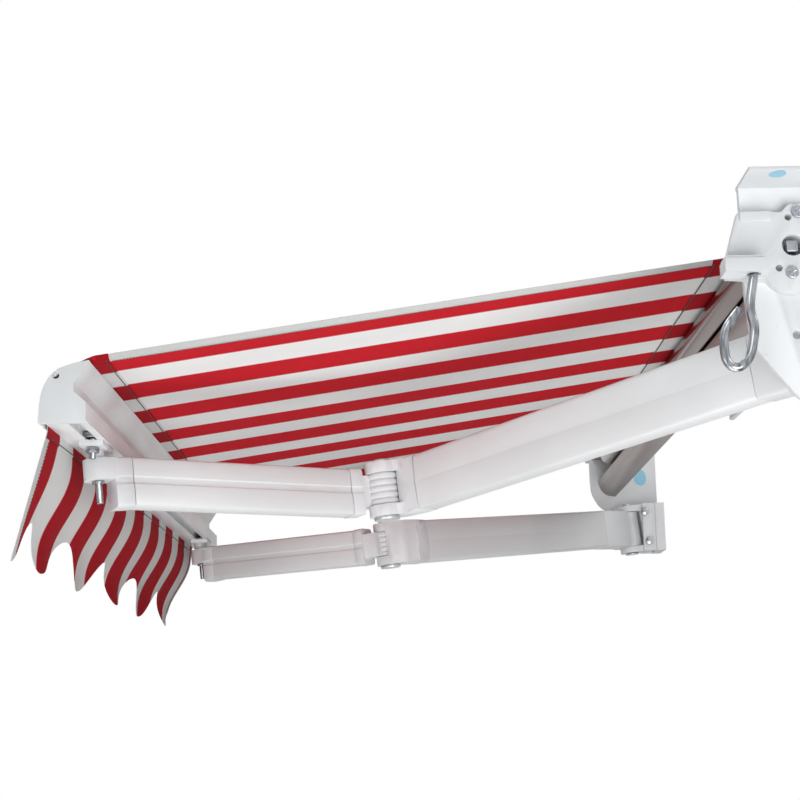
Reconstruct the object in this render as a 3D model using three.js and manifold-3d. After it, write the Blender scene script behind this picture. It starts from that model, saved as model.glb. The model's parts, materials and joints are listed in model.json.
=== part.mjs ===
// A folding-arm awning, shown let out: striped cloth on a roller, two spring arms and a front bar
// with a valance.
// X runs along the awning, +Y points to the wall and Z is up. The wall plane is y = 0. Units are millimetres.
import * as THREE from "three";
import { mergeVertices } from "three/addons/utils/BufferGeometryUtils.js";
import Module from "manifold-3d";

const wasm = await Module();
wasm.setup();

// Cassette
const backWidth = 1836;
const backWeb = -95;
const backSheet = 3.5;
const backTop = 64;
const plateInner = backWidth / 2;
const plateThick = 10;
const plateOuter = plateInner + plateThick;
const plateTop = 62;
const roofWidth = 61;
const roofThick = 4;

// Roller and cloth
const rollerY = -134;
const rollerZ = 33;
const tubeRadius = 20;
const tubeWall = 1.5;
const tubeNear = 902;
const tubeFar = 704;
const axleRadius = 5.5;
const axleSeat = 2.6;
const clothWidth = 1372;
const clothThick = 1.4;
const clothSag = 0.6;

// Folding arms: the hinge pins stand square to a plane that falls outwards by the pitch
const pitch = THREE.MathUtils.degToRad(6.05);
const shoulderX = 878;
const shoulderY = -75;
const shoulderZ = -110;
const rearLength = 756;
const rearOffset = 26;
const foreLength = 428;
const foreOffset = 22;
const rearAngle = THREE.MathUtils.degToRad(45.9);
const elbowDrop = 24.7;
const rearHeight = 80;
const rearWidth = 46;
const foreHeight = 67.5;
const foreWidth = 38;
const shoulderLength = 116;
const castingLength = 62;
const foreCasting = 52;
const wristCasting = 44;
const pinRadius = 7;
const knuckleRadius = 23;
const knuckleHeight = 47;
const earRadius = 25;
const fit = 0.4;

// Front bar, measured from the middle of the slot in its underside
const barWidth = 1404;
const capThick = 4;
const barAboveWrist = 53.9;
const slotHalf = 7.5;
const slotInner = 11;
const slotLip = 3;
const slotTop = 12;

// Valance
const valanceDrop = 176;
const valanceThick = 1.4;
const lobeTip = 520;
const lobeWidth = 282;
const lobeDepth = 58;
const valanceLean = 46;
const billowDepth = 8;
const billowStart = 150;
const rippleDepth = 5;
const rippleWidth = 183;
const pocketDrop = 14;

// Crank gear
const gearHubY = -144.7;
const gearHubZ = -10.5;
const gearHubHole = 12.5;
const crankX = 958;
const crankY = -195;
const crankZ = -48.5;
const crankLean = THREE.MathUtils.degToRad(10);
const crankRod = 5.2;

const colours = {
  white: new THREE.MeshStandardMaterial({ color: 0xe9e9e7, roughness: 0.35, metalness: 0.0 }),
  zinc: new THREE.MeshStandardMaterial({ color: 0xaab2ba, roughness: 0.28, metalness: 1.0 }),
  alloy: new THREE.MeshStandardMaterial({ color: 0xc9cbcc, roughness: 0.4, metalness: 0.9 }),
  cloth: new THREE.MeshStandardMaterial({ color: 0xb81f2a, roughness: 0.85, metalness: 0.0 }),
};

// Solids and booleans
function solidOf(geometry) {
  const bare = geometry.index ? geometry.toNonIndexed() : geometry.clone();
  bare.deleteAttribute("normal");
  bare.deleteAttribute("uv");
  const merged = mergeVertices(bare, 1e-4);
  return new wasm.Manifold(
    new wasm.Mesh({
      numProp: 3,
      vertProperties: merged.attributes.position.array,
      triVerts: new Uint32Array(merged.index.array),
    }),
  );
}

function geometryOf(solid) {
  const mesh = solid.getMesh();
  const indexed = new THREE.BufferGeometry();
  indexed.setAttribute("position", new THREE.BufferAttribute(mesh.vertProperties, mesh.numProp));
  indexed.setIndex(new THREE.BufferAttribute(mesh.triVerts, 1));
  const flat = indexed.toNonIndexed();
  flat.computeVertexNormals();
  return flat;
}

function join(...pieces) {
  return geometryOf(pieces.map(solidOf).reduce((sum, piece) => sum.add(piece)));
}

function cut(base, ...tools) {
  return geometryOf(tools.map(solidOf).reduce((rest, tool) => rest.subtract(tool), solidOf(base)));
}

// Basic forms
function outline(points) {
  return new THREE.Shape(points.map(([x, y]) => new THREE.Vector2(x, y)));
}

function alongZ(shape, from, to) {
  const options = { depth: to - from, bevelEnabled: false, curveSegments: 7 };
  return new THREE.ExtrudeGeometry(shape, options).translate(0, 0, from);
}

// The shape's own axes become Y and Z, and it is drawn out along X.
function alongX(shape, from, to) {
  const turn = new THREE.Matrix4().makeBasis(
    new THREE.Vector3(0, 1, 0),
    new THREE.Vector3(0, 0, 1),
    new THREE.Vector3(1, 0, 0),
  );
  return alongZ(shape, from, to).applyMatrix4(turn);
}

function box(x0, x1, y0, y1, z0, z1) {
  const block = new THREE.BoxGeometry(x1 - x0, y1 - y0, z1 - z0);
  return block.translate((x0 + x1) / 2, (y0 + y1) / 2, (z0 + z1) / 2);
}

function postZ(radius, from, to, sides = 16) {
  const post = new THREE.CylinderGeometry(radius, radius, to - from, sides);
  return post.rotateX(Math.PI / 2).translate(0, 0, (from + to) / 2);
}

function postX(radius, from, to, y, z, sides = 24) {
  const post = new THREE.CylinderGeometry(radius, radius, to - from, sides);
  return post.rotateZ(-Math.PI / 2).translate((from + to) / 2, y, z);
}

function turned(profile, sides) {
  const points = profile.map(([radius, height]) => new THREE.Vector2(radius, height));
  return new THREE.LatheGeometry(points, sides).rotateX(Math.PI / 2);
}

function node(name, geometry, material, parent) {
  const mesh = new THREE.Mesh(geometry, material);
  mesh.name = name;
  parent.add(mesh);
  return mesh;
}

// Frame of the arm plane: x outwards along the fall, y along the awning, z along the hinge pins
const outward = new THREE.Vector3(0, -Math.cos(pitch), -Math.sin(pitch));
const pinAxis = new THREE.Vector3(0, -Math.sin(pitch), Math.cos(pitch));
const planeTurn = new THREE.Matrix4().makeBasis(outward, new THREE.Vector3(1, 0, 0), pinAxis);
const shoulder = new THREE.Vector3(shoulderX, shoulderY, shoulderZ);

function inPlane(geometry, origin) {
  return geometry.applyMatrix4(planeTurn).translate(origin.x, origin.y, origin.z);
}

function planePoint(x, y, z) {
  return new THREE.Vector3(x, y, z).applyMatrix4(planeTurn).add(shoulder);
}

// With the arms folded flat the wrist stands under the same point of the bar as when they are let out.
const wristX = shoulderX - rearLength + foreLength;
const elbow = new THREE.Vector2(rearLength, rearOffset).rotateAround(new THREE.Vector2(), -rearAngle);
const foreReach = Math.hypot(foreLength, foreOffset);
const foreAngle =
  Math.asin((wristX - shoulderX - elbow.y) / foreReach) + Math.atan2(foreOffset, foreLength);
const foreVector = new THREE.Vector2(foreLength, -foreOffset).rotateAround(new THREE.Vector2(), foreAngle);
const wristReach = elbow.x + foreVector.x;
const wrist = planePoint(wristReach, wristX - shoulderX, 0);
const barY = wrist.y - 3;
const barZ = wrist.z + barAboveWrist;

const awning = new THREE.Group();

// Back profile: a channel behind the roller with a lip over it and a curved gutter under it
function backProfile() {
  const inner = backWeb - backSheet;
  const section = new THREE.Shape();
  section.moveTo(backWeb, backTop);
  section.lineTo(-146, backTop - 3);
  section.lineTo(-146, backTop - 6);
  section.lineTo(inner, backTop - backSheet);
  section.lineTo(inner, -23.6);
  section.lineTo(-110, -21.5);
  section.quadraticCurveTo(-127, -13, -130.6, 8);
  section.lineTo(-134, 8);
  section.quadraticCurveTo(-131, -18, -112, -25);
  section.lineTo(inner, -27.5);
  section.lineTo(backWeb, -27.5);
  section.closePath();
  return alongX(section, -backWidth / 2, backWidth / 2);
}

// Wall bracket at mid-width: a foot on the wall and two arms to the back profile
function wallBracket() {
  const foot = box(-70, 70, -8, 0, -16, 62);
  const arms = [box(-52, -42, backWeb, -7, 6, 52), box(42, 52, backWeb, -7, 6, 52)];
  const bores = [-24, 24].map((x) => postZ(5.5, -10, 10, 16).rotateX(Math.PI / 2).translate(x, 0, 30));
  return cut(join(foot, ...arms), ...bores);
}

function plateScrewHoles(places, radius) {
  return places.map(([y, z]) => postX(radius, plateInner - 1, plateOuter + 60, y, z, 12));
}

const gearScrews = [
  [-137.5, 28],
  [-148, -43],
];
const gearHoles = [
  [-148, 22.5],
  [-162, -37],
];
const lowerHole = [-143.8, -111.2];

// A flat roof over the outside of an end plate
function plateRoof(front) {
  return box(plateInner, plateOuter + roofWidth, front, -1, plateTop, plateTop + roofThick);
}

// End plate on the crank side, reaching down past the arm's shoulder
function gearPlate() {
  const side = new THREE.Shape();
  side.moveTo(-1, plateTop + 1);
  side.lineTo(-199, plateTop + 1);
  side.lineTo(-199, -60);
  side.lineTo(-195, -112);
  side.quadraticCurveTo(-194, -122, -186, -132);
  side.lineTo(-150, -178);
  side.quadraticCurveTo(-143, -186, -132, -186);
  side.lineTo(-1, -186);
  side.closePath();
  const plate = join(alongX(side, plateInner, plateOuter), plateRoof(-200));
  const bores = [
    postX(axleRadius + fit, plateInner - 1, plateInner + axleSeat + fit, rollerY, rollerZ),
    postX(gearHubHole, plateInner - 1, plateOuter + 1, gearHubY, gearHubZ, 28),
    postX(5, plateInner - 1, plateOuter + 1, ...lowerHole, 16),
  ];
  return cut(plate, ...bores, ...plateScrewHoles(gearScrews, 3.4), ...plateScrewHoles(gearHoles, 4.2));
}

// End plate on the idle side
function idlePlate() {
  const side = new THREE.Shape();
  side.moveTo(-1, plateTop + 1);
  side.lineTo(-152, plateTop + 1);
  side.lineTo(-152, 9.5);
  side.lineTo(-151, -8);
  side.quadraticCurveTo(-149, -24, -140, -38);
  side.quadraticCurveTo(-133, -52, -120, -58);
  side.quadraticCurveTo(-112, -62, -112, -74);
  side.lineTo(-112, -136);
  side.quadraticCurveTo(-112, -149, -98, -149);
  side.lineTo(-1, -149);
  side.closePath();
  const roof = plateRoof(-153).applyMatrix4(new THREE.Matrix4().makeRotationZ(Math.PI));
  roof.translate(0, -154, 0);
  return join(alongX(side, -plateOuter, -plateInner), roof);
}

// Bracket on the back profile that carries the roller's idle end
const bearingRadius = 11.5;

function idleBearing() {
  const root = backWeb - backSheet - 0.3;
  const side = new THREE.Shape();
  side.moveTo(root, rollerZ + bearingRadius + 4);
  side.lineTo(rollerY, rollerZ + bearingRadius);
  side.absarc(rollerY, rollerZ, bearingRadius, Math.PI / 2, (3 * Math.PI) / 2);
  side.lineTo(root, rollerZ - bearingRadius + 1);
  side.closePath();
  const arm = alongX(side, -tubeFar - 14, -tubeFar - 2);
  return cut(arm, postX(axleRadius + fit, -tubeFar - 20, -tubeFar, rollerY, rollerZ, 16));
}

const gearFace = plateOuter + 14;

// Gear casting: a stepped plate, a block around the worm and a lip along its top edge
function gearHousing() {
  const side = new THREE.Shape();
  side.moveTo(-116, 28.5);
  side.lineTo(-130, 38);
  side.lineTo(-146, 38);
  side.lineTo(-156, 28.5);
  side.lineTo(-205, 28.5);
  side.lineTo(-219.5, -21);
  side.lineTo(-222, -30);
  side.lineTo(-222, -47);
  side.lineTo(-176, -50);
  side.quadraticCurveTo(-166, -64, -150, -66);
  side.lineTo(-116, -66);
  side.closePath();
  const plate = alongX(side, plateOuter, gearFace);
  const lip = box(gearFace - 1, gearFace + 4, -203, -168, 19, 28.5);
  const blockTop = box(gearFace - 1, crankX + 11, -227, -184, -34, -29.5);
  const block = box(gearFace - 1, crankX + 14, -228.5, -180, crankZ, -33);
  const bores = [
    postX(gearHubHole, plateOuter - 1, gearFace + 20, gearHubY, gearHubZ, 28),
    ...plateScrewHoles(gearScrews, 3.4),
    ...plateScrewHoles(gearHoles, 4.2),
    crankPlace(postZ(crankRod + fit, -15, 40, 16)),
    crankPlace(postZ(crankRod + 3, -4, 4, 16)),
  ];
  return cut(join(plate, lip, blockTop, block), ...bores);
}

// Square shaft with a round collar, seen in the casting's opening
function gearHub() {
  const collar = postX(gearHubHole, plateInner + 1, plateInner + 8, gearHubY, gearHubZ, 28);
  const square = new THREE.BoxGeometry(gearFace - plateInner - 10, 13, 13);
  return join(collar, square.translate((gearFace + plateInner + 4) / 2, gearHubY, gearHubZ));
}

// The crank's own frame has its z up along the leaning rod and its origin where the rod leaves the block.
function crankPlace(geometry) {
  return geometry.rotateX(-crankLean).translate(crankX, crankY, crankZ);
}

// Crank eye: a bent rod with an open loop
function crankEye() {
  const route = [
    [0, 14],
    [0, -14],
    [0.2, -34.5],
    [2.5, -45.7],
    [7.2, -57.7],
    [8.4, -74.7],
    [6.6, -92.1],
    [0.5, -103.9],
    [-7.8, -108.6],
    [-16.6, -104.3],
    [-21.7, -92],
    [-23.8, -76.3],
    [-21.5, -63.3],
    [-15.4, -50.9],
    [-10.6, -42.6],
  ];
  const path = new THREE.CatmullRomCurve3(route.map(([y, z]) => new THREE.Vector3(0, y, z)));
  const ring = new THREE.Shape().absarc(0, 0, crankRod, 0, 2 * Math.PI);
  return crankPlace(
    new THREE.ExtrudeGeometry(ring, { steps: 38, curveSegments: 4, bevelEnabled: false, extrudePath: path }),
  );
}

// Raised head with a cross recess, on a short shank
function crossScrew(y, z) {
  const head = postX(7, gearFace, gearFace + 4.5, y, z, 18);
  const shank = postX(3, plateInner + axleSeat + 1, gearFace + 1, y, z, 10);
  const recess = [
    box(gearFace + 2.5, gearFace + 6, y - 4.2, y + 4.2, z - 0.8, z + 0.8),
    box(gearFace + 2.5, gearFace + 6, y - 0.8, y + 0.8, z - 4.2, z + 4.2),
  ];
  return cut(join(head, shank), ...recess);
}

// Roller tube and its two plugs with axles
function ring(outer, inner, from, to, y, z, sides) {
  return cut(postX(outer, from, to, y, z, sides), postX(inner, from - 1, to + 1, y, z, sides));
}

function driveAxle() {
  const plug = postX(tubeRadius - tubeWall - fit, tubeNear - 36, tubeNear - 1, rollerY, rollerZ, 28);
  return join(plug, postX(axleRadius, tubeNear - 6, plateInner + axleSeat, rollerY, rollerZ, 16));
}

function idleAxle() {
  const plug = postX(tubeRadius - tubeWall - fit, 1 - tubeFar, 36 - tubeFar, rollerY, rollerZ, 28);
  return join(plug, postX(axleRadius, -tubeFar - 16, 6 - tubeFar, rollerY, rollerZ, 16));
}

// Cloth from the top of the roller to the top edge of the front bar
const clothRear = new THREE.Vector2(rollerY - 3, rollerZ + tubeRadius + 0.4);
const clothFront = new THREE.Vector2(barY - 2, barZ + 80.6);

function canopyCloth() {
  const sheet = new THREE.BoxGeometry(clothWidth, 1, clothThick, 4, 14, 1);
  const place = sheet.attributes.position;
  for (let i = 0; i < place.count; i += 1) {
    const along = 0.5 - place.getY(i);
    const middle = new THREE.Vector2().lerpVectors(clothRear, clothFront, along);
    const sag = clothSag * 4 * along * (1 - along);
    place.setXYZ(i, place.getX(i), middle.x, middle.y - sag + clothThick / 2 + place.getZ(i));
  }
  return sheet;
}

// Front bar: rounded front, notched back, slot for the arm brackets and groove for the valance
const grooveFront = -41;
const grooveBack = -35.5;
const grooveTop = 9;

function barOutline() {
  const section = new THREE.Shape();
  section.moveTo(17.5, 81);
  section.lineTo(-1, 53);
  section.lineTo(-1, 41);
  section.lineTo(15, 27);
  section.lineTo(15, 4);
  section.lineTo(19, 0);
  section.lineTo(slotHalf, 0);
  return section;
}

function barFront(section) {
  section.lineTo(-43, 0);
  section.quadraticCurveTo(-45, 0, -45, 4);
  section.lineTo(-44, 26);
  section.quadraticCurveTo(-41, 58, -21, 71);
  section.quadraticCurveTo(-4, 78.5, 17.5, 81);
  section.closePath();
  return section;
}

function frontBar() {
  const section = barOutline();
  section.lineTo(slotHalf, slotLip);
  section.lineTo(slotInner, slotLip);
  section.lineTo(slotInner, slotTop);
  section.lineTo(-slotInner, slotTop);
  section.lineTo(-slotInner, slotLip);
  section.lineTo(-slotHalf, slotLip);
  section.lineTo(-slotHalf, 0);
  section.lineTo(grooveBack, 0);
  section.lineTo(grooveBack, grooveTop);
  section.lineTo(grooveFront, grooveTop);
  section.lineTo(grooveFront, 0);
  const chamber = outline([
    [-37, 17],
    [-4, 17],
    [-4, 55],
    [9, 74],
    [-12, 71],
    [-28, 60],
    [-36, 44],
  ]);
  barFront(section).holes.push(new THREE.Path(chamber.getPoints()));
  return alongX(section, -barWidth / 2, barWidth / 2).translate(0, barY, barZ);
}

// Cap on each end of the bar, pierced by its fixing screw's hole
function barCap() {
  const cap = alongX(barFront(barOutline()), barWidth / 2, barWidth / 2 + capThick);
  const hole = postX(4.5, barWidth / 2 - 1, barWidth / 2 + 9, -24, 62, 20);
  return cut(cap, hole).translate(0, barY, barZ);
}

// Valance: a scalloped strip that swings outwards and ripples along its length
function valance() {
  const strip = new THREE.BoxGeometry(clothWidth, 1, valanceThick, 55, 5, 1);
  const place = strip.attributes.position;
  const top = barZ + grooveTop - 2;
  for (let i = 0; i < place.count; i += 1) {
    const x = place.getX(i);
    const down = 0.5 - place.getY(i);
    const reach = x > lobeTip ? clothWidth / 2 - lobeTip : lobeWidth;
    const turns = ((x - lobeTip) / reach) * 2 * Math.PI;
    const height = valanceDrop - (lobeDepth * (1 - Math.cos(turns))) / 2;
    const free = Math.max(0, (down * height - pocketDrop) / (valanceDrop - pocketDrop));
    const ripple = rippleDepth * free * Math.sin((x / rippleWidth) * 2 * Math.PI);
    const billow = billowDepth * Math.min(1, (clothWidth / 2 - x) / billowStart);
    const swing = valanceLean * free - billow * Math.sin(free * 2 * Math.PI);
    const y = (grooveFront + grooveBack) / 2 - swing - ripple - place.getZ(i);
    place.setXYZ(i, x, barY + y, top - down * height);
  }
  // both sides are split along the same diagonals, so the cloth keeps its thickness where it twists
  const corner = strip.index;
  const back = strip.groups[5];
  for (let k = back.start; k < back.start + back.count; k += 6) {
    corner.setX(k + 2, corner.getX(k + 4));
    corner.setX(k + 3, corner.getX(k));
  }
  return strip;
}

// Section of the rear arm: flat sides that meet in a faint ridge at mid height
function rearSection(grow) {
  const w = rearWidth / 2 + grow;
  const h = rearHeight / 2 + grow;
  return [
    [w, 0],
    [w - 1.5, h - 6],
    [w - 3.2, h - 1.8],
    [w - 7.5, h],
    [-w + 7.5, h],
    [-w + 3.2, h - 1.8],
    [-w + 1.5, h - 6],
    [-w, 0],
    [-w + 1.5, -h + 6],
    [-w + 3.2, -h + 1.8],
    [-w + 7.5, -h],
    [w - 7.5, -h],
    [w - 3.2, -h + 1.8],
    [w - 1.5, -h + 6],
  ];
}

// Section of the forearm: flat sides with a shallow channel along the middle
function foreSection(grow) {
  const w = foreWidth / 2 + grow;
  const h = foreHeight / 2 + grow;
  const side = [
    [w - 1.6, -2],
    [w - 1.6, 6],
    [w, 7.5],
    [w, h - 6],
    [w - 1.8, h - 1.8],
    [w - 6, h],
  ];
  const low = [
    [w - 6, -h],
    [w - 1.8, -h + 1.8],
    [w, -h + 6],
    [w, -3.5],
  ];
  const right = [...low, ...side];
  const left = right.map(([y, z]) => [-y, z]).reverse();
  return [...right, ...left];
}

// A hollow tube whose far end stands lower or higher by the drop
function armTube(section, wall, from, to, zFrom, zTo) {
  const shape = outline(section(0));
  shape.holes.push(new THREE.Path(outline(section(-wall)).getPoints()));
  const slope = (zTo - zFrom) / (to - from);
  const lift = zFrom - slope * from;
  const shear = new THREE.Matrix4().set(1, 0, 0, 0, 0, 1, 0, 0, slope, 0, 1, lift, 0, 0, 0, 1);
  return alongX(shape, from, to).applyMatrix4(shear);
}

// Shoulder end of the rear arm: a barrel on the shoulder pin with a neck to the tube
function shoulderCasting() {
  const barrel = postZ(earRadius - 1, -38, 38, 24);
  const neck = box(0, 30, -20, 20, -34, 34);
  const socket = alongX(outline(rearSection(0.8)), 28, shoulderLength - 0.3);
  return cut(join(barrel, neck, socket), postZ(pinRadius + fit, -60, 60));
}

// Elbow end of the rear arm: two round ears above and below the forearm's knuckle
function elbowFork() {
  const start = rearLength - castingLength;
  const webEnd = rearLength - knuckleRadius - 8;
  const socket = alongX(outline(rearSection(0.8)), start + 0.3, webEnd);
  const ear = new THREE.Shape();
  ear.moveTo(start + 20, -rearWidth / 2);
  ear.lineTo(rearLength - 8, -rearWidth / 2 + 4);
  ear.quadraticCurveTo(rearLength + 12, -14, rearLength + earRadius, rearOffset);
  ear.absarc(rearLength, rearOffset, earRadius, 0, Math.PI);
  ear.lineTo(webEnd - 4, rearWidth / 2);
  ear.lineTo(start + 20, rearWidth / 2);
  ear.closePath();
  const inner = knuckleHeight / 2 + fit;
  const back = new THREE.Shape();
  back.moveTo(webEnd - 2, -rearWidth / 2);
  back.lineTo(rearLength - 8, -rearWidth / 2 + 4);
  back.quadraticCurveTo(rearLength + 12, -14, rearLength + earRadius - 3, rearWidth / 2 - 3);
  back.lineTo(webEnd - 2, rearWidth / 2 - 3);
  back.closePath();
  const ears = [alongZ(ear, inner, rearHeight / 2), alongZ(ear, -rearHeight / 2, -inner)];
  const body = join(socket, ...ears, alongZ(back, -inner - 1, inner + 1));
  const clearance = postZ(knuckleRadius + 1.2, -inner, inner, 28).translate(rearLength, rearOffset, 0);
  const bore = postZ(pinRadius + fit, -60, 60).translate(rearLength, rearOffset, 0);
  return cut(body, clearance, bore).translate(0, 0, -elbowDrop);
}

// Pin with a wide cap below and a small one above
function elbowPin() {
  const top = rearHeight / 2 + 0.3;
  const shaft = postZ(pinRadius, -top - 1, top + 1);
  const lowCap = postZ(19, -top - 5, -top, 24);
  const highCap = postZ(14, top, top + 4, 20);
  return join(shaft, lowCap, highCap).translate(rearLength, rearOffset, -elbowDrop);
}

// Elbow end of the forearm: a barrel with rounded ribs, and a neck to the tube
function elbowKnuckle() {
  const ribs = 5;
  const ribHeight = knuckleHeight / ribs;
  const profile = [[0, -knuckleHeight / 2]];
  for (let rib = 0; rib < ribs; rib += 1) {
    const low = -knuckleHeight / 2 + rib * ribHeight;
    profile.push([knuckleRadius - 3.4, low + 0.02]);
    profile.push([knuckleRadius - 0.4, low + ribHeight * 0.28]);
    profile.push([knuckleRadius - 0.4, low + ribHeight * 0.72]);
    profile.push([knuckleRadius - 3.4, low + ribHeight - 0.02]);
  }
  profile.push([0, knuckleHeight / 2]);
  const barrel = turned(profile, 20);
  const neck = box(4, 36, -foreOffset - 15, -3.5, -knuckleHeight / 2 + 1, knuckleHeight / 2 - 1);
  const socket = alongX(outline(foreSection(0.8)), 32, foreCasting - 0.3).translate(0, -foreOffset, 0);
  return cut(join(barrel, neck, socket), postZ(pinRadius + fit, -60, 60));
}

// Wrist end of the forearm: a block at full height with a round tongue from its upper half
const tongueTop = foreHeight / 2;
const tongueBottom = 5;
const tongueRadius = 19;

function wristEnd() {
  const start = foreLength - wristCasting;
  const socket = alongX(outline(foreSection(0.8)), start + 0.3, foreLength - 18);
  const tongue = new THREE.Shape();
  tongue.moveTo(foreLength - 24, -tongueRadius);
  tongue.lineTo(foreLength, -tongueRadius);
  tongue.absarc(foreLength, 0, tongueRadius, -Math.PI / 2, Math.PI / 2);
  tongue.lineTo(foreLength - 24, tongueRadius);
  tongue.closePath();
  const body = join(socket, alongZ(tongue, tongueBottom, tongueTop));
  const bore = postZ(5 + fit, -60, 60).translate(foreLength, 0, 0);
  return cut(body, bore).translate(0, -foreOffset, elbowDrop);
}

// Bracket that clamps in the bar's slot and carries the wrist pin
const plateBelowBar = 8;
const slotBoltShift = 30;

function wristBracket() {
  const low = -plateBelowBar;
  const plate = box(-26, slotBoltShift + 14, -16, 16, low, -0.3).translate(wristX, barY, barZ);
  const boss = inPlane(postZ(11, tongueTop + 0.6, barAboveWrist - 5), wrist);
  const pinBore = inPlane(postZ(5.2, -10, barAboveWrist - 9), wrist);
  const boltBore = postZ(5.3, low - 40, 5).translate(wristX + slotBoltShift, barY, barZ);
  return cut(join(plate, boss), pinBore, boltBore);
}

function wristPin() {
  const shaft = postZ(4.8, -26, barAboveWrist - 9.5);
  const clip = postZ(8.5, tongueBottom - 4, tongueBottom - 0.5, 20);
  return inPlane(join(shaft, clip), wrist);
}

// Bolt with a long head in the slot and a hexagon nut under the bracket
function slotBolt() {
  const head = box(-14, 14, -9.5, 9.5, slotLip + 0.4, slotTop - 1.6);
  const shank = postZ(4.8, -24, slotLip + 1);
  const nut = postZ(9, -plateBelowBar - 8.3, -plateBelowBar - 0.3, 6);
  return join(head, shank, nut).translate(wristX + slotBoltShift, barY, barZ);
}

// Shoulder bracket: a pad on the wall with two cheeks
const earEnd = 52;
const cheekInner = 26.4;
const cheekOuter = 36;
const tiltBolt = new THREE.Vector2(-36, -33);
const clampBolt = new THREE.Vector2(-36, 33);

function crossPost(radius, from, to, place, sides = 12) {
  const post = new THREE.CylinderGeometry(radius, radius, to - from, sides);
  return inPlane(post.translate(place.x, (from + to) / 2, place.y), shoulder);
}

function shoulderBase() {
  const low = -160;
  const high = -54;
  const pad = box(-44, plateInner - shoulderX, -20, 0, low, high);
  const cheek = box(cheekInner, cheekOuter, -47, -19, low, high);
  const farCheek = cheek.clone().translate(-cheekInner - cheekOuter, 0, 0);
  const body = join(pad, cheek, farCheek).translate(shoulderX, 0, 0);
  const slot = [-4, 0, 4].map((shift) =>
    crossPost(4.6, -45, 45, new THREE.Vector2(clampBolt.x + shift, clampBolt.y)),
  );
  return cut(body, crossPost(5.2, -45, 45, tiltBolt), ...slot);
}

// Block between the cheeks, tilted to the arms' pitch, with an ear above and below the arm
function tiltBlock() {
  const ear = new THREE.Shape();
  ear.moveTo(-46, -earRadius);
  ear.lineTo(0, -earRadius);
  ear.absarc(0, 0, earRadius, -Math.PI / 2, Math.PI / 2);
  ear.lineTo(-46, earRadius);
  ear.closePath();
  const web = box(-46, -29, -earRadius, earRadius, -earEnd, earEnd);
  const body = join(alongZ(ear, 39, earEnd), alongZ(ear, -earEnd, -39), web);
  const placed = inPlane(cut(body, postZ(pinRadius + fit, -60, 60)), shoulder);
  return cut(placed, crossPost(5.2, -45, 45, tiltBolt), crossPost(5.2, -45, 45, clampBolt));
}

function shoulderPin() {
  const end = earEnd + 4;
  const shaft = postZ(pinRadius, -end, end);
  const caps = [postZ(15, earEnd + fit, end, 20), postZ(15, -end, -earEnd - fit, 20)];
  return inPlane(join(shaft, ...caps), shoulder);
}

function bracketBolt(place) {
  const radius = place === clampBolt ? 4.3 : 4.8;
  const shank = crossPost(radius, -cheekOuter - 1, cheekOuter, place);
  const head = crossPost(9, -cheekOuter - 7.5, -cheekOuter - 0.4, place, 6);
  return join(shank, head);
}

// Cassette and roller
node("back_profile", backProfile(), colours.alloy, awning);
node("wall_bracket", wallBracket(), colours.white, awning);
node("end_plate_right", gearPlate(), colours.white, awning);
node("end_plate_left", idlePlate(), colours.white, awning);
node("gear_housing", gearHousing(), colours.white, awning);
gearScrews.forEach(([y, z], i) => node(`gear_screw_${i + 1}`, crossScrew(y, z), colours.zinc, awning));
node("gear_hub", gearHub(), colours.zinc, awning);
node("crank_eye", crankEye(), colours.zinc, awning);
node("idle_bearing", idleBearing(), colours.alloy, awning);
node(
  "roller_tube",
  ring(tubeRadius, tubeRadius - tubeWall, -tubeFar, tubeNear, rollerY, rollerZ, 36),
  colours.alloy,
  awning,
);
node("drive_axle", driveAxle(), colours.zinc, awning);
node("idle_axle", idleAxle(), colours.zinc, awning);
node("canopy_cloth", canopyCloth(), colours.cloth, awning);

// Front bar and its valance
node("front_bar", frontBar(), colours.white, awning);
node("valance", valance(), colours.cloth, awning);

// Arms and what belongs to each side, made once for the right and mirrored for the left
function sideParts(side) {
  const half = new THREE.Group();
  node(`shoulder_base_${side}`, shoulderBase(), colours.white, half);
  node(`tilt_block_${side}`, tiltBlock(), colours.white, half);
  node(`shoulder_pin_${side}`, shoulderPin(), colours.zinc, half);
  node(`tilt_bolt_${side}`, bracketBolt(tiltBolt), colours.zinc, half);
  node(`clamp_bolt_${side}`, bracketBolt(clampBolt), colours.zinc, half);
  node(`bar_cap_${side}`, barCap(), colours.white, half);
  node(`wrist_bracket_${side}`, wristBracket(), colours.white, half);
  node(`wrist_pin_${side}`, wristPin(), colours.zinc, half);
  node(`slot_bolt_${side}`, slotBolt(), colours.zinc, half);

  const plane = new THREE.Group();
  plane.setRotationFromMatrix(planeTurn);
  plane.position.copy(shoulder);
  half.add(plane);

  const rear = new THREE.Group();
  rear.rotation.z = -rearAngle;
  plane.add(rear);
  const rearEnd = rearLength - castingLength;
  const rearTube = armTube(rearSection, 2.2, shoulderLength, rearEnd, 0, -elbowDrop);
  node(`rear_arm_tube_${side}`, rearTube, colours.white, rear);
  node(`shoulder_casting_${side}`, shoulderCasting(), colours.white, rear);
  node(`elbow_fork_${side}`, elbowFork(), colours.white, rear);
  node(`elbow_pin_${side}`, elbowPin(), colours.alloy, rear);

  const fore = new THREE.Group();
  fore.position.set(elbow.x, elbow.y, -elbowDrop);
  fore.rotation.z = foreAngle;
  plane.add(fore);
  const foreEnd = foreLength - wristCasting;
  const foreTube = armTube(foreSection, 2.2, foreCasting, foreEnd, 0, elbowDrop).translate(0, -foreOffset, 0);
  node(`forearm_tube_${side}`, foreTube, colours.white, fore);
  node(`elbow_knuckle_${side}`, elbowKnuckle(), colours.white, fore);
  node(`wrist_end_${side}`, wristEnd(), colours.white, fore);
  return half;
}

awning.add(sideParts("right"));
const left = sideParts("left");
left.scale.x = -1;
awning.add(left);

export default awning;
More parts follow.
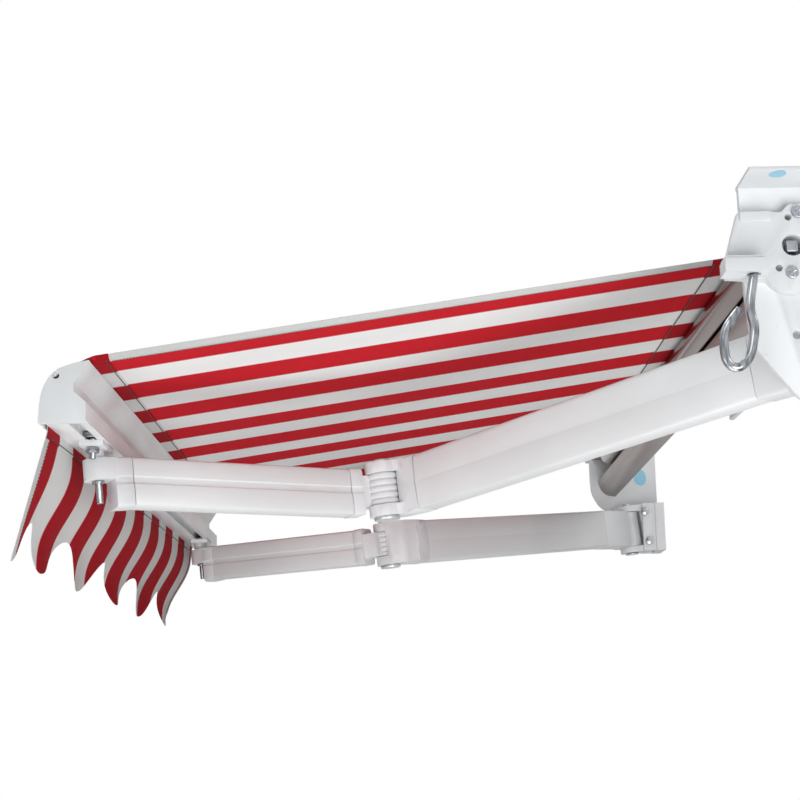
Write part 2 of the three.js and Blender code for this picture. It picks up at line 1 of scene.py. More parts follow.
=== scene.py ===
import json
import math
import bpy
from mathutils import Matrix, Vector
from mathutils.geometry import intersect_point_line


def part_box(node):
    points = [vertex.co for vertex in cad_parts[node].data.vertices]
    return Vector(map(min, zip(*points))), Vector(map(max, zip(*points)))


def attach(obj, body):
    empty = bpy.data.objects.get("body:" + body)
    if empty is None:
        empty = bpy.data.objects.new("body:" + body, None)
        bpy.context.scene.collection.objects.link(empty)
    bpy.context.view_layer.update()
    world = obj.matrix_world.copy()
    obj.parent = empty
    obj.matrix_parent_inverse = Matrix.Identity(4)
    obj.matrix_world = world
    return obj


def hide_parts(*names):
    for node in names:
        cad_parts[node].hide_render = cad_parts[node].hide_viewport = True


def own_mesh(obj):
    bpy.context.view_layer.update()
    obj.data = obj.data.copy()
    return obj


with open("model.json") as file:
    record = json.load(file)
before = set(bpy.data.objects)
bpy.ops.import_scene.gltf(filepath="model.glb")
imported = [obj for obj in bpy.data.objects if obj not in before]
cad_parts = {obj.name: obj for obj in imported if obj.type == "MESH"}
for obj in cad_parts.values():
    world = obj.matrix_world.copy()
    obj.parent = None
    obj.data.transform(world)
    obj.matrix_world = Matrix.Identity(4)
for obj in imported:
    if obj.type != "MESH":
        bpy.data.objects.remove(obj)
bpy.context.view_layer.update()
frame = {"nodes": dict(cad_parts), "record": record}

scene = bpy.context.scene
scene.view_settings.view_transform = "Standard"
wholeTurn = 2 * math.pi
pitch = math.radians(6.05)  # fall of the arms
alongArm = Vector((0, -math.cos(pitch), -math.sin(pitch)))  # out from the wall


# camera at the photo's viewing angle, degrees and mm
shot = {
    "place": (2.6209, -0.5936, -0.5306), "tilt": 11.78, "turn": 0.14, "roll": -1.04,
    "lens": 70.1, "sensor": 36, "near": 0.01, "far": 100,
}
tilt, turn, roll = (math.radians(shot[key]) for key in ("tilt", "turn", "roll"))
ahead = Vector((-math.cos(tilt) * math.cos(turn), math.cos(tilt) * math.sin(turn), math.sin(tilt)))
side = Vector((math.sin(turn), math.cos(turn), 0))
over = side.cross(ahead)
right = side * math.cos(roll) + over * math.sin(roll)
upward = over * math.cos(roll) - side * math.sin(roll)
lensData = bpy.data.cameras.new("photoLens")
lensData.lens = shot["lens"]
lensData.sensor_width = shot["sensor"]
lensData.clip_start = shot["near"]
lensData.clip_end = shot["far"]
photoCamera = bpy.data.objects.new("photoCamera", lensData)
scene.collection.objects.link(photoCamera)
photoCamera.matrix_world = Matrix((
    (right.x, upward.x, -ahead.x, shot["place"][0]),
    (right.y, upward.y, -ahead.y, shot["place"][1]),
    (right.z, upward.z, -ahead.z, shot["place"][2]),
    (0, 0, 0, 1),
))
scene.camera = photoCamera

# soft lamps: place, point it faces, size, power
lamps = {
    "keyLamp": ((4.2, -2.6, 2.2), (0.3, -0.5, -0.1), 2.2, 24),
    "sideLamp": ((2.4, 0.1, -0.9), (0.4, -0.5, -0.1), 1.2, 22),
    "frontLamp": ((2.3, -2.0, -0.8), (0.4, -0.5, -0.1), 1.2, 6),
    "underLamp": ((1.3, -0.95, -1.75), (0.3, -0.55, 0), 2.2, 17),
    "innerLamp": ((0.55, -0.3, -1.2), (0.4, -0.3, 0), 0.9, 2.4),
    "topLamp": ((0, -1.5, 2.8), (0, -0.5, 0), 2.2, 32),
    "backLamp": ((1.2, 2.4, 2.2), (0, 0, 0), 2.2, 40),
}
for name, (place, target, size, power) in lamps.items():
    bpy.ops.object.light_add(type="AREA", location=place)
    lamp = bpy.context.object
    lamp.name = name
    lamp.data.shape = "DISK"
    lamp.data.size = size
    lamp.data.energy = power
    lamp.rotation_euler = (Vector(target) - Vector(place)).to_track_quat("-Z", "Y").to_euler()
print("camera and lamps placed")


# shader helper: a socket that can be added, multiplied and so on
class Wire:
    def __init__(self, tree, socket=None):
        self.tree = tree
        self.socket = socket

    def put(self, kind, settings=None, values=None, out=0):
        made = self.tree.nodes.new(kind)
        for key, value in (settings or {}).items():
            setattr(made, key, value)
        for key, value in (values or {}).items():
            if isinstance(value, Wire):
                self.tree.links.new(value.socket, made.inputs[key])
            else:
                made.inputs[key].default_value = value
        return Wire(self.tree, made.outputs[out] if made.outputs else None)

    def calc(self, operation, first, second=0.0):
        return self.put("ShaderNodeMath", {"operation": operation}, {0: first, 1: second})

    def __add__(self, other):
        return self.calc("ADD", self, other)

    def __radd__(self, other):
        return self.calc("ADD", other, self)

    def __sub__(self, other):
        return self.calc("SUBTRACT", self, other)

    def __rsub__(self, other):
        return self.calc("SUBTRACT", other, self)

    def __mul__(self, other):
        return self.calc("MULTIPLY", self, other)

    def __rmul__(self, other):
        return self.calc("MULTIPLY", other, self)

    def __abs__(self):
        return self.calc("ABSOLUTE", self)

    def most(self, other):
        return self.calc("MAXIMUM", self, other)

    def ramp(self, low, high):
        settings = {"interpolation_type": "SMOOTHSTEP"}
        return self.put("ShaderNodeMapRange", settings, {0: self, 1: low, 2: high})

    def blend(self, first, second):
        return self.put("ShaderNodeMix", {"data_type": "RGBA"}, {0: self, 6: first, 7: second}, 2)


noiseMid = 0.5  # a noise swings about this


def startMaterial(name):
    made = bpy.data.materials.new(name)
    made.use_nodes = True
    made.node_tree.nodes.clear()
    return made, Wire(made.node_tree)


def closeMaterial(wire, values):
    shader = wire.put("ShaderNodeBsdfPrincipled", values=values)
    wire.put("ShaderNodeOutputMaterial", values={"Surface": shader})


def noiseOf(wire, place, scale, detail):
    return wire.put("ShaderNodeTexNoise", values={"Vector": place, "Scale": scale, "Detail": detail})


def bumpOf(wire, height, distance, strength):
    return wire.put("ShaderNodeBump", values={"Height": height, "Distance": distance, "Strength": strength})


def dimmed(colour, share):
    return tuple(channel * share for channel in colour[:3]) + (1,)


# powder coat: faint clouds, small scuffs in patches, orange peel
coat = {
    "cloud": 7.0, "cloudRamp": (0.3, 0.7), "cloudShade": 0.94, "cloudRough": 0.12,
    "scuff": 160.0, "scuffRamp": (0.68, 0.76), "scuffPatch": (0.45, 0.65), "scuffShade": 0.80,
    "scuffRough": 0.2, "peel": 0.5,
}


def paintMaterial(name, colour, rough, grain, depth):
    made, wire = startMaterial(name)
    place = wire.put("ShaderNodeTexCoord", out="Object")
    cloud = noiseOf(wire, place, coat["cloud"], detail=4.0)
    peel = noiseOf(wire, place, grain, detail=2.0)
    scuff = noiseOf(wire, place, coat["scuff"], detail=6.0)
    rubbed = scuff.ramp(*coat["scuffRamp"]) * cloud.ramp(*coat["scuffPatch"])
    clouded = cloud.ramp(*coat["cloudRamp"]).blend(colour, dimmed(colour, coat["cloudShade"]))
    closeMaterial(wire, {
        "Base Color": rubbed.blend(clouded, dimmed(colour, coat["scuffShade"])),
        "Roughness": rough + coat["cloudRough"] * (cloud - noiseMid) + coat["scuffRough"] * rubbed,
        "Normal": bumpOf(wire, peel, depth, coat["peel"]),
    })
    return made


powderWhite = paintMaterial("powderWhite", (0.785, 0.797, 0.805, 1), rough=0.36, grain=900.0, depth=0.00012)
castWhite = paintMaterial("castWhite", (0.775, 0.795, 0.81, 1), rough=0.42, grain=420.0, depth=0.0003)

# bare metal: draw marks along the piece; with a strong fade, as on the crank eye, they become dark and
# light streaks of painted reflection
marks = {"ramp": (0.35, 0.7), "rough": 0.2, "deep": 0.0001, "strength": 0.3}


def metalMaterial(name, colour, rough, stretch, fine=60.0, fade=0.82, metal=1.0):
    made, wire = startMaterial(name)
    place = wire.put("ShaderNodeTexCoord", out="Object")
    drawn = wire.put("ShaderNodeMapping", values={"Vector": place, "Scale": stretch})
    scratchAndReflection = noiseOf(wire, drawn, fine, detail=4.0)
    closeMaterial(wire, {
        "Base Color": scratchAndReflection.ramp(*marks["ramp"]).blend(colour, dimmed(colour, fade)),
        "Metallic": metal,
        "Roughness": rough + marks["rough"] * (scratchAndReflection - noiseMid),
        "Normal": bumpOf(wire, scratchAndReflection, marks["deep"], marks["strength"]),
    })
    return made


zincPlate = metalMaterial("zincPlate", (0.40, 0.42, 0.45, 1), rough=0.24, stretch=(1, 1, 1))
# crank eye zinc: its strong dark streaks along the rod are painted reflection, not draw marks
zincPaintedStreaks = metalMaterial(
    "zincPaintedStreaks", (0.39, 0.41, 0.44, 1), rough=0.12, stretch=(1, 1, 0.2), fine=190.0, fade=0.36
)
millAlloy = metalMaterial("millAlloy", (0.62, 0.63, 0.64, 1), rough=0.36, stretch=(0.05, 1, 1))
# roller tube: its dark mauve base colour is partly painted reflection of the red cloth and partly painted
# shade
satinTubeReflectTint = metalMaterial("satinTubeReflectTint", (0.30, 0.255, 0.245, 1), rough=0.22, stretch=(0.04, 1, 1))
# gutter: its dark taupe base colour is partly painted shade under the roller and painted reflection of the
# red cloth
gutterShadedAlloy = metalMaterial(
    "gutterShadedAlloy", (0.35, 0.31, 0.298, 1), rough=0.42, stretch=(0.04, 1, 1), metal=0.35
)

# cut and stripes in m, across from the middle and along from the roller or the bar
cloth = {
    "width": 1.372, "thick": 0.0009, "hem": 0.013, "hemEnd": 0.832, "frillHem": 0.018,
    "repeat": 0.170, "red": 0.088, "redAt": -0.017,
}
clothHalf = cloth["width"] / 2
weave = {
    "sharp": 0.0003, "border": (0.0005, 0.0018), "borderTint": (0.70, 0.42, 0.43, 1),
    "warp": 700.0, "warpStretch": (1.0, 0.03, 1.0), "warpRamp": (0.25, 0.75), "warpShade": 0.86,
    "soil": 5.0, "soilRamp": (0.35, 0.75), "soilShade": 0.93,
    "hemSharp": 0.0004, "hemTint": (0.58, 0.58, 0.57, 1),
    "thread": 2100, "deep": 0.0003, "strength": 0.5, "rough": 0.82, "shine": 0.12,
}
stripes = {"ground": (0.89, 0.89, 0.88, 1), "dye": (0.62, 0.011, 0.021, 1)}
# darker copy of the stripes: painted shade for the doubled pockets and the hanging cloth
shadedStripes = {"ground": (0.72, 0.72, 0.705, 1), "dye": (0.38, 0.0075, 0.015, 1)}


def clothMaterial(name, tones, hem=0.0, hemEnd=1.0):
    made, wire = startMaterial(name)
    ground, dye = tones["ground"], tones["dye"]
    flat = wire.put("ShaderNodeUVMap")
    across = wire.put("ShaderNodeSeparateXYZ", values={0: flat}, out=0)
    along = wire.put("ShaderNodeSeparateXYZ", values={0: flat}, out=1)
    fromRed = wire.calc("PINGPONG", across - cloth["redAt"], cloth["repeat"] / 2)
    halfRed = cloth["red"] / 2
    isWhite = fromRed.ramp(halfRed - weave["sharp"], halfRed + weave["sharp"])
    offBorder = abs(fromRed - halfRed).ramp(*weave["border"])
    drawn = wire.put("ShaderNodeMapping", values={"Vector": flat, "Scale": weave["warpStretch"]})
    warp = noiseOf(wire, drawn, weave["warp"], detail=2.0)
    soil = noiseOf(wire, flat, weave["soil"], detail=4.0)
    redPart = warp.ramp(*weave["warpRamp"]).blend(dye, dimmed(dye, weave["warpShade"]))
    whitePart = soil.ramp(*weave["soilRamp"]).blend(ground, dimmed(ground, weave["soilShade"]))
    tint = offBorder.blend(weave["borderTint"], isWhite.blend(redPart, whitePart))
    if hem:
        fold = clothHalf - hem
        pastFold = abs(across).ramp(fold - weave["hemSharp"], fold)
        pastEnd = along.ramp(hemEnd - weave["hemSharp"], hemEnd)
        tint = (pastFold * (1 - pastEnd)).blend(tint, weave["hemTint"])
    warpThread = abs(wire.calc("SINE", across * weave["thread"]))
    weftThread = abs(wire.calc("SINE", along * weave["thread"]))
    closeMaterial(wire, {
        "Base Color": tint,
        "Roughness": weave["rough"],
        "Normal": bumpOf(wire, warpThread * weftThread + warp, weave["deep"], weave["strength"]),
        "Specular IOR Level": weave["shine"],
    })
    return made


stripeCloth = clothMaterial("stripeCloth", stripes, cloth["hem"], cloth["hemEnd"])
bandCloth = clothMaterial("bandCloth", shadedStripes)  # sewn pockets, doubled and without a hem; their darker stripes are painted shade
frillCloth = clothMaterial("frillCloth", shadedStripes, cloth["frillHem"])  # hanging cloth; its darker stripes are painted shade

fibre = {"scale": 1500.0, "ramp": (0.3, 0.7), "shade": 0.85}


def fibreMaterial(name, colour, rough):
    made, wire = startMaterial(name)
    place = wire.put("ShaderNodeTexCoord", out="Object")
    speck = noiseOf(wire, place, fibre["scale"], detail=2.0)
    tint = speck.ramp(*fibre["ramp"]).blend(colour, dimmed(colour, fibre["shade"]))
    closeMaterial(wire, {"Base Color": tint, "Roughness": rough})
    return made


# near-black thread: the stitches are real, their dark colour is painted shade along the seams
seamShadeThread = fibreMaterial("seamShadeThread", (0.06, 0.045, 0.045, 1), rough=0.7)
stickerBlue = fibreMaterial("stickerBlue", (0.33, 0.65, 0.83, 1), rough=0.35)
print("materials made")


# softened copies of the rigid CAD pieces
def onlySelect(piece):
    bpy.ops.object.select_all(action="DESELECT")
    piece.select_set(True)
    bpy.context.view_layer.objects.active = piece


def paint(piece, material):
    piece.data.materials.clear()
    piece.data.materials.append(material)


behaviour = frame["record"]["behaviour"]
bodyOf = {node: body for body, nodes in behaviour["bodies"].items() for node in nodes}
slotOf = {row["node"]: row["material_slot"] for row in frame["record"]["subparts"]}
jointAt = {joint["name"]: Vector(joint["pos_m"]) for joint in behaviour["joints"]}
madeLater = ("canopy_cloth", "valance", "crank_eye")
castWords = (
    "casting", "fork", "knuckle", "wrist", "shoulder_base", "tilt_block", "cap", "plate", "housing",
)
slotFinish = {"zinc": zincPlate, "alloy": millAlloy, "white_paint": powderWhite}
ownFinish = {"roller_tube": satinTubeReflectTint, "back_profile": gutterShadedAlloy}
edges = {"width": 0.0007, "angle": 32, "rounds": 2, "merge": 0.000002, "flat": 0.6}
pierced = ("bar_cap_right", "bar_cap_left")  # flat faces with a hole stay as triangles

# open seams where the castings meet the tubes: angles from alongArm, distances from the joints
armSeam = {
    "rearAngle": 45.9, "shoulder": 0.1157, "fork": 0.6943,
    "foreAngle": 30.28, "knuckle": 0.0517, "wrist": 0.3843,
    "gap": 0.0008, "near": 0.0006,
}
seamOf = {}  # casting: joint, angle, distance, way back from the seam
for hand, shoulder, sign in (("right", "arm_fold", 1), ("left", "shoulder_left", -1)):
    rearAngle = -sign * armSeam["rearAngle"]
    foreAngle = sign * armSeam["foreAngle"]
    seamOf["shoulder_casting_" + hand] = (shoulder, rearAngle, armSeam["shoulder"], -1)
    seamOf["elbow_fork_" + hand] = (shoulder, rearAngle, armSeam["fork"], 1)
    seamOf["elbow_knuckle_" + hand] = ("elbow_" + hand, foreAngle, armSeam["knuckle"], -1)
    seamOf["wrist_end_" + hand] = ("elbow_" + hand, foreAngle, armSeam["wrist"], 1)


def openSeam(piece, node):
    joint, angle, distance, way = seamOf[node]
    turned = math.radians(angle)
    line = alongArm * math.cos(turned) + Vector((math.sin(turned), 0, 0))
    moved = 0
    for vert in piece.data.vertices:
        if abs((vert.co - jointAt[joint]).dot(line) - distance) < armSeam["near"]:
            vert.co += line * way * armSeam["gap"]
            moved += 1
    if not moved:
        print("no seam found on", node)


# scored line along the arm tubes, on the edges between low and high degrees that are long enough
crease = {"low": 3, "high": 9, "long": 0.1, "half": 0.0011, "deep": 0.0018}


def cutGroove(piece):
    sides = {}
    for face in piece.data.polygons:
        for key in face.edge_keys:
            sides.setdefault(key, []).append(face.normal)
    for part in (piece.data.polygons, piece.data.edges, piece.data.vertices):
        part.foreach_set("select", [False] * len(part))
    ridges = []
    for edge in piece.data.edges:
        normals = sides.get(edge.key, [])
        ends = [piece.data.vertices[index] for index in edge.vertices]
        if len(normals) != 2 or (ends[0].co - ends[1].co).length <= crease["long"]:
            continue
        if crease["low"] < math.degrees(normals[0].angle(normals[1])) < crease["high"]:
            edge.select = True
            for vert in ends:
                vert.select = True
            ridges.append([vert.co.copy() for vert in ends])
    scene.tool_settings.mesh_select_mode = (False, True, False)
    bpy.ops.object.mode_set(mode="EDIT")
    bpy.ops.mesh.bevel(offset=crease["half"], segments=2, affect="EDGES", clamp_overlap=False)
    bpy.ops.object.mode_set(mode="OBJECT")
    scene.tool_settings.mesh_select_mode = (True, False, False)
    sunk = 0
    for vert in piece.data.vertices:
        offRidge = [(intersect_point_line(vert.co, *ridge)[0] - vert.co).length for ridge in ridges]
        if any(off < crease["half"] / 4 for off in offRidge):
            vert.co -= vert.normal * crease["deep"]
            sunk += 1
    print(piece.name, "ridges", len(ridges), "sunk", sunk)


def softCopy(node):
    piece = bpy.data.objects.new(node + "_soft", frame["nodes"][node].data.copy())
    scene.collection.objects.link(piece)
    onlySelect(piece)
    bpy.ops.object.mode_set(mode="EDIT")
    bpy.ops.mesh.select_all(action="SELECT")
    bpy.ops.mesh.remove_doubles(threshold=edges["merge"])
    if node not in pierced:
        bpy.ops.mesh.dissolve_limited(angle_limit=math.radians(edges["flat"]))
    bpy.ops.object.mode_set(mode="OBJECT")
    if node in seamOf:
        openSeam(piece, node)
    rounding = piece.modifiers.new("edgeRound", "BEVEL")
    rounding.width = edges["width"]
    rounding.segments = edges["rounds"]
    rounding.limit_method = "ANGLE"
    rounding.angle_limit = math.radians(edges["angle"])
    rounding.use_clamp_overlap = True
    bpy.ops.object.modifier_apply(modifier=rounding.name)
    if "arm_tube" in node:
        cutGroove(piece)
    bpy.ops.object.shade_smooth_by_angle(angle=math.radians(edges["angle"]))
    slot = slotOf[node]
    finish = ownFinish.get(node, slotFinish[slot])
    if slot == "white_paint" and any(word in node for word in castWords):
        finish = castWhite
    paint(piece, finish)
    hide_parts(node)
    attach(piece, bodyOf[node])


for node in frame["nodes"]:
    if node not in madeLater:
        softCopy(node)
print("rigid pieces softened")


# cloth sheets
def smoothPiece(piece, material, angle=40):
    onlySelect(piece)
    bpy.ops.object.mode_set(mode="EDIT")
    bpy.ops.mesh.select_all(action="SELECT")
    bpy.ops.mesh.normals_make_consistent(inside=False)
    bpy.ops.object.mode_set(mode="OBJECT")
    bpy.ops.object.shade_smooth_by_angle(angle=math.radians(angle))
    paint(piece, material)
    return piece


def sheetPiece(name, grid, shape, long, low, material, flatten=None):
    bpy.ops.object.select_all(action="DESELECT")
    bpy.ops.mesh.primitive_grid_add(x_subdivisions=grid[0], y_subdivisions=grid[1], size=1)
    piece = bpy.context.object
    piece.name = name
    spots = [
        ((vert.co.x + 0.5) * cloth["width"] - clothHalf, (vert.co.y + 0.5) * long + low)
        for vert in piece.data.vertices
    ]
    flat = piece.data.uv_layers.active.data
    for loop in piece.data.loops:
        spot = spots[loop.vertex_index]
        flat[loop.index].uv = flatten(*spot) if flatten else spot
    for vert, spot in zip(piece.data.vertices, spots):
        vert.co = shape(*spot)
    skin = piece.modifiers.new("skin", "SOLIDIFY")
    skin.thickness = cloth["thick"]
    skin.offset = 0
    bpy.ops.object.modifier_apply(modifier=skin.name)
    return smoothPiece(piece, material)


def overSheet(shape, x, along, height):
    step = 0.0004  # for the slope of the sheet
    spot = shape(x, along)
    normal = (shape(x + step, along) - spot).cross(shape(x, along + step) - spot).normalized()
    return spot + normal * height


def stitchRow(name, shape, start, step, count, size):
    bpy.ops.object.select_all(action="DESELECT")
    bpy.ops.mesh.primitive_uv_sphere_add(segments=8, ring_count=5, radius=0.5)
    row = bpy.context.object
    row.name = name
    bpy.ops.object.mode_set(mode="EDIT")
    bpy.ops.mesh.select_all(action="SELECT")
    bpy.ops.transform.resize(value=size)
    bpy.ops.object.mode_set(mode="OBJECT")
    repeat = row.modifiers.new("repeat", "ARRAY")
    repeat.use_relative_offset = False
    repeat.use_constant_offset = True
    repeat.constant_offset_displace = (step[0], step[1], 0)
    repeat.count = count
    bpy.ops.object.modifier_apply(modifier=repeat.name)
    for vert in row.data.vertices:
        vert.co = overSheet(shape, start[0] + vert.co.x, start[1] + vert.co.y, seam["high"] + vert.co.z)
    return smoothPiece(row, seamShadeThread, angle=80)


# canopy: its hem rolls up more towards the bar, slow waves in the middle, fine ones at the bar
canopy = {"rear": Vector((0, -0.137, 0.0534)), "front": Vector((0, -1.0003, -0.073)), "grid": (190, 60)}
hemCurl = {"wide": 0.013, "rear": 0.55, "front": 1.7, "end": 0.1, "fade": 0.026}
slack = {"high": 0.0008, "wave": 23.0}
pleat = {"high": 0.0004, "wave": 61.0, "drift": 1.3, "driftWave": 17.0, "reach": 0.04}
canopyLine = canopy["front"] - canopy["rear"]
canopyLong = canopyLine.length
canopyUp = Vector((0, canopyLine.z, -canopyLine.y)).normalized()


def canopyPoint(x, along):
    start = clothHalf - hemCurl["wide"]
    beyond = abs(x) - start
    pulled = math.sin(x * pleat["wave"] + pleat["drift"] * math.sin(x * pleat["driftWave"]))
    lift = pleat["high"] * pulled * math.exp((along - canopyLong) / pleat["reach"])
    lift += slack["high"] * math.sin(x * slack["wave"]) * math.sin(math.pi * along / canopyLong)
    if beyond > 0:
        curl = hemCurl["rear"] + (hemCurl["front"] - hemCurl["rear"]) * along / canopyLong
        held = min(1.0, max(0.0, (canopyLong - along) / hemCurl["fade"]))  # flat again inside the bar
        curl = hemCurl["end"] + (curl - hemCurl["end"]) * held * held * (3 - 2 * held)
        bend = hemCurl["wide"] / curl
        x = math.copysign(start + bend * math.sin(beyond / bend), x)
        lift += bend * (1 - math.cos(beyond / bend))
    return canopy["rear"] + canopyLine * (along / canopyLong) + canopyUp * lift + Vector((x, 0, 0))


canopySheet = sheetPiece("canopySheet", canopy["grid"], canopyPoint, canopyLong, 0, stripeCloth)
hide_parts("canopy_cloth")

# sewn pockets: a second layer on the underside, with a seam along its edge
pocket = {
    "front": 0.040, "rear": 0.044, "gap": 0.0012, "seamIn": 0.003, "short": 0.011,
    "frontGrid": (190, 8), "rearGrid": (190, 6),
}
frontStart = canopyLong - pocket["front"]
frontLong = pocket["front"] - pocket["short"]  # ends inside the bar


def pocketPoint(x, along):
    return overSheet(canopyPoint, x, along, pocket["gap"])


frontBand = sheetPiece("frontBand", pocket["frontGrid"], pocketPoint, frontLong, frontStart, bandCloth)
rearBand = sheetPiece("rearBand", pocket["rearGrid"], pocketPoint, pocket["rear"], 0, bandCloth)

# stitches: length, width and height, the rear ones larger so that their dark thread paints a wider shade
# line along the rear seam
seam = {
    "size": (0.0037, 0.0017, 0.0010), "rearSize": (0.0043, 0.0027, 0.0012),
    "hemSize": (0.0014, 0.0032, 0.0009), "hemIn": 0.0115,
    "step": 0.0044, "high": 0.0007, "end": 0.004, "edge": 0.002,
}
seamCount = int((cloth["width"] - 2 * seam["end"]) / seam["step"])


def crossSeam(name, shape, along, size=seam["size"]):
    return stitchRow(name, shape, (seam["end"] - clothHalf, along), (seam["step"], 0), seamCount, size)


def hemSeam(name, shape, x, start, end):
    count = int((end - start) / seam["step"])
    return stitchRow(name, shape, (x, start), (0, seam["step"]), count, seam["hemSize"])


hemLine = clothHalf - seam["hemIn"]
hemStart = pocket["rear"] + seam["step"]
frontSeam = crossSeam("frontSeam", pocketPoint, frontStart + pocket["seamIn"])
rearSeam = crossSeam("rearSeam", pocketPoint, pocket["rear"] - seam["edge"], seam["rearSize"])
hemSeamNear = hemSeam("hemSeamNear", canopyPoint, hemLine, hemStart, frontStart)
hemSeamFar = hemSeam("hemSeamFar", canopyPoint, -hemLine, hemStart, frontStart)
canopyTrim = [frontBand, rearBand, frontSeam, rearSeam, hemSeamNear, hemSeamFar]
for piece in [canopySheet] + canopyTrim:
    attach(piece, "cassette")
    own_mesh(piece)
print("canopy made")


# valance: scallops counted from the tip of one, waves that grow towards the free edge
frill = {
    "drop": 0.176, "depth": 0.058, "tip": 0.520, "lobe": 0.282,
    "pocket": 0.014, "band": 0.021, "hemStop": 0.006, "grid": (230, 44), "bandGrid": (190, 6),
    "lean": 0.046, "billow": 0.008, "calm": 0.15, "ripple": 0.005, "wave": 0.183,
}
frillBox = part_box("valance")
frillTop = Vector((0, frillBox[1].y, frillBox[1].z))


def frillHeight(x):
    reach = clothHalf - frill["tip"] if x > frill["tip"] else frill["lobe"]
    return frill["drop"] - frill["depth"] * (1 - math.cos((x - frill["tip"]) / reach * wholeTurn)) / 2


def frillPoint(x, down):
    free = max(0.0, (down - frill["pocket"]) / (frill["drop"] - frill["pocket"]))
    ripple = frill["ripple"] * free * math.sin(x / frill["wave"] * wholeTurn)
    billow = frill["billow"] * min(1.0, (clothHalf - x) / frill["calm"])
    swing = frill["lean"] * free - billow * math.sin(free * wholeTurn)
    return Vector((x, frillTop.y - swing - ripple, frillTop.z - down))


def valancePoint(x, part):
    return frillPoint(x, part * frillHeight(x))


def valanceFlat(x, part):
    return (x, part * frillHeight(x))


def frillPocketPoint(x, down):
    return overSheet(frillPoint, x, down, pocket["gap"])


valanceSheet = sheetPiece("valanceSheet", frill["grid"], valancePoint, 1, 0, frillCloth, valanceFlat)
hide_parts("valance")
frillBand = sheetPiece("frillBand", frill["bandGrid"], frillPocketPoint, frill["band"], 0, bandCloth)
frillSeam = crossSeam("frillSeam", frillPocketPoint, frill["band"] - pocket["seamIn"])
sideLine = clothHalf - cloth["frillHem"] + seam["edge"]
sideStart = frill["band"] + seam["step"]
nearLow = frill["drop"] - frill["hemStop"]
farLow = frillHeight(-sideLine) - frill["hemStop"]
frillHemNear = hemSeam("frillHemNear", frillPoint, sideLine, sideStart, nearLow)
frillHemFar = hemSeam("frillHemFar", frillPoint, -sideLine, sideStart, farLow)
frillTrim = [frillBand, frillSeam, frillHemNear, frillHemFar]
for piece in [valanceSheet] + frillTrim:
    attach(piece, "bar")
print("valance made")


# crank eye, a bent rod: its route in its own leaning plane
eye = {
    "place": Vector((0.958, -0.195, -0.0485)), "lean": math.radians(10),
    "rod": 0.0052, "steps": 8, "round": 5,
}
eyeRoute = [
    (0, 0.014), (0, -0.014), (0.0002, -0.0345), (0.0025, -0.0457), (0.0072, -0.0577),
    (0.0084, -0.0747), (0.0066, -0.0921), (0.0005, -0.1039), (-0.0078, -0.1086), (-0.0166, -0.1043),
    (-0.0217, -0.092), (-0.0238, -0.0763), (-0.0215, -0.0633), (-0.0154, -0.0509), (-0.0106, -0.0426),
]
bpy.ops.object.select_all(action="DESELECT")
bpy.ops.curve.primitive_bezier_curve_add()
crankEye = bpy.context.object
crankEye.name = "crankEye"
bend = crankEye.data.splines[0]
bend.bezier_points.add(len(eyeRoute) - len(bend.bezier_points))
for knot, (y, z) in zip(bend.bezier_points, eyeRoute):
    out = y * math.cos(eye["lean"]) + z * math.sin(eye["lean"])
    rise = z * math.cos(eye["lean"]) - y * math.sin(eye["lean"])
    knot.co = eye["place"] + Vector((0, out, rise))
    knot.handle_left_type = "AUTO"
    knot.handle_right_type = "AUTO"
crankEye.data.resolution_u = eye["steps"]
crankEye.data.bevel_depth = eye["rod"]
crankEye.data.bevel_resolution = eye["round"]
crankEye.data.use_fill_caps = True
bpy.ops.object.convert(target="MESH")
crankEye = bpy.context.object
smoothPiece(crankEye, zincPaintedStreaks)
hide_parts("crank_eye")
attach(crankEye, "crank")
print("crank eye made")


# blue dots on the end plates, with a hand-cut outline and the upper rim drawn in
sticker = {
    "thick": 0.0004, "sides": 40, "rim": 0.97,
    "uneven": 0.035, "waves": 3, "shift": 0.7, "fineWaves": 5, "fineShare": 0.6,
}


def stickerDot(name, place, turn, size):
    bpy.ops.object.select_all(action="DESELECT")
    bpy.ops.mesh.primitive_cylinder_add(vertices=sticker["sides"], radius=0.5, depth=1, location=(0, 0, 0))
    dot = bpy.context.object
    dot.name = name
    bpy.ops.object.mode_set(mode="EDIT")
    bpy.ops.mesh.select_all(action="SELECT")
    bpy.ops.transform.resize(value=(size[0], size[1], sticker["thick"]))
    bpy.ops.object.mode_set(mode="OBJECT")
    for vert in dot.data.vertices:
        around = math.atan2(vert.co.y, vert.co.x)
        fine = sticker["fineShare"] * math.sin(sticker["fineWaves"] * around)
        wider = 1 + sticker["uneven"] * (math.sin(sticker["waves"] * around + sticker["shift"]) + fine)
        if vert.co.z > 0:
            wider *= sticker["rim"]
        vert.co.x *= wider
        vert.co.y *= wider
    bpy.ops.object.mode_set(mode="EDIT")
    bpy.ops.mesh.select_all(action="SELECT")
    if turn:
        bpy.ops.transform.rotate(value=math.radians(turn), orient_axis="Y", center_override=(0, 0, 0))
    bpy.ops.transform.translate(value=place)
    bpy.ops.object.mode_set(mode="OBJECT")
    smoothPiece(dot, stickerBlue)
    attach(dot, "cassette")


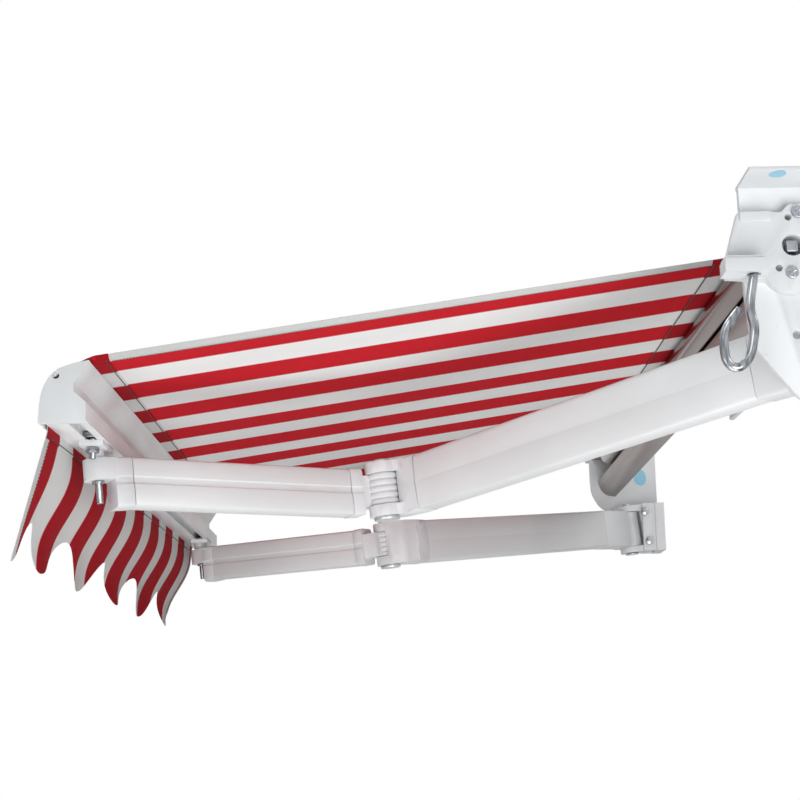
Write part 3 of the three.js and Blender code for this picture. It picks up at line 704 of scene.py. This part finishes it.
stickerDot("roofDot", place=(0.9755, -0.165, 0.0618), turn=0, size=(0.023, 0.019))
stickerDot("plateDot", place=(-0.9178, -0.0372, 0.0146), turn=90, size=(0.036, 0.028))
print("stickers made")


# floor and backdrop, pale to the eye and in reflections
def whiteRays(wire):
    seen = wire.put("ShaderNodeLightPath", out="Is Camera Ray")
    mirrored = wire.put("ShaderNodeLightPath", out="Is Glossy Ray")
    through = wire.put("ShaderNodeLightPath", out="Is Transmission Ray")
    return seen.most(mirrored).most(through)


floor = {
    "z": -5.0, "size": 60.0, "tint": (0.86, 0.86, 0.86, 1), "rough": 0.9,
    "glow": 0.8, "glowTint": (0.9, 0.9, 0.9, 1),  # what doesn't glow keeps the shadow
}
bpy.ops.object.select_all(action="DESELECT")
bpy.ops.mesh.primitive_plane_add(size=floor["size"], location=(0, 0, floor["z"]))
paleFloor = bpy.context.object
paleFloor.name = "paleFloor"
floorPaint, floorWire = startMaterial("floorPaint")
floorValues = {"Base Color": floor["tint"], "Roughness": floor["rough"]}
floorBody = floorWire.put("ShaderNodeBsdfPrincipled", values=floorValues)
floorGlow = floorWire.put("ShaderNodeEmission", values={"Color": floor["glowTint"], "Strength": 1.0})
floorShare = floor["glow"] * whiteRays(floorWire)
floorMix = floorWire.put("ShaderNodeMixShader", values={0: floorShare, 1: floorBody, 2: floorGlow})
floorWire.put("ShaderNodeOutputMaterial", values={"Surface": floorMix})
paint(paleFloor, floorPaint)

studio = {"soft": (0.78, 0.79, 0.8, 1), "softPower": 0.2, "white": (1, 1, 1, 1), "whitePower": 1.0}
world = bpy.data.worlds.new("studio")
scene.world = world
world.use_nodes = True
world.node_tree.nodes.clear()
sky = Wire(world.node_tree)
soft = sky.put("ShaderNodeBackground", values={"Color": studio["soft"], "Strength": studio["softPower"]})
white = sky.put("ShaderNodeBackground", values={"Color": studio["white"], "Strength": studio["whitePower"]})
mixed = sky.put("ShaderNodeMixShader", values={0: whiteRays(sky), 1: soft, 2: white})
sky.put("ShaderNodeOutputWorld", values={"Surface": mixed})
print("floor and backdrop made")
